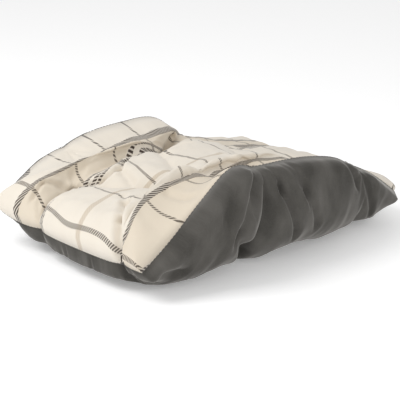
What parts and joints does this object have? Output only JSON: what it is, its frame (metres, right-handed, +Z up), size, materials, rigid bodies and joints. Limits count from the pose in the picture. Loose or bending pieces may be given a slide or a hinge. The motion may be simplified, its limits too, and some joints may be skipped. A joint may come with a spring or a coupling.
{
  "type": "pet cushion bed",
  "caption": "Tufted pet cushion bed with two curled-up long sides, a plaid lying surface and a velvet underside.",
  "frame": {"origin": "on the floor under the middle of the bed", "axes": "+X along the length, +Y across towards the lower of the two raised sides, +Z up"},
  "size_m": [0.6186, 0.4962, 0.1901],
  "materials": {
    "plaid_twill": "soft matt twill, ivory with dark brown plaid lines",
    "grey_velvet": "short velvet pile with a soft sheen",
    "polyester_fibre": "white loose fibre",
    "cream_thread": "twisted thread",
    "grey_thread": "twisted thread"
  },
  "bodies": {
    "root": {"top_cover": "plaid_twill", "bottom_cover": "grey_velvet", "fibre_fill": "polyester_fibre", "tuft_tie_1": "cream_thread", "tuft_tie_2": "cream_thread", "tuft_tie_3": "cream_thread", "tuft_tie_4": "cream_thread", "tuft_tie_5": "cream_thread", "tuft_tie_6": "cream_thread", "perimeter_seam": "grey_thread", "edge_tack_1": "grey_thread", "edge_tack_2": "grey_thread", "edge_tack_3": "grey_thread", "edge_tack_4": "grey_thread", "edge_tack_5": "grey_thread", "edge_tack_6": "grey_thread", "edge_tack_7": "grey_thread", "edge_tack_8": "grey_thread", "closing_stitch": "grey_thread"}
  },
  "joints": []
}
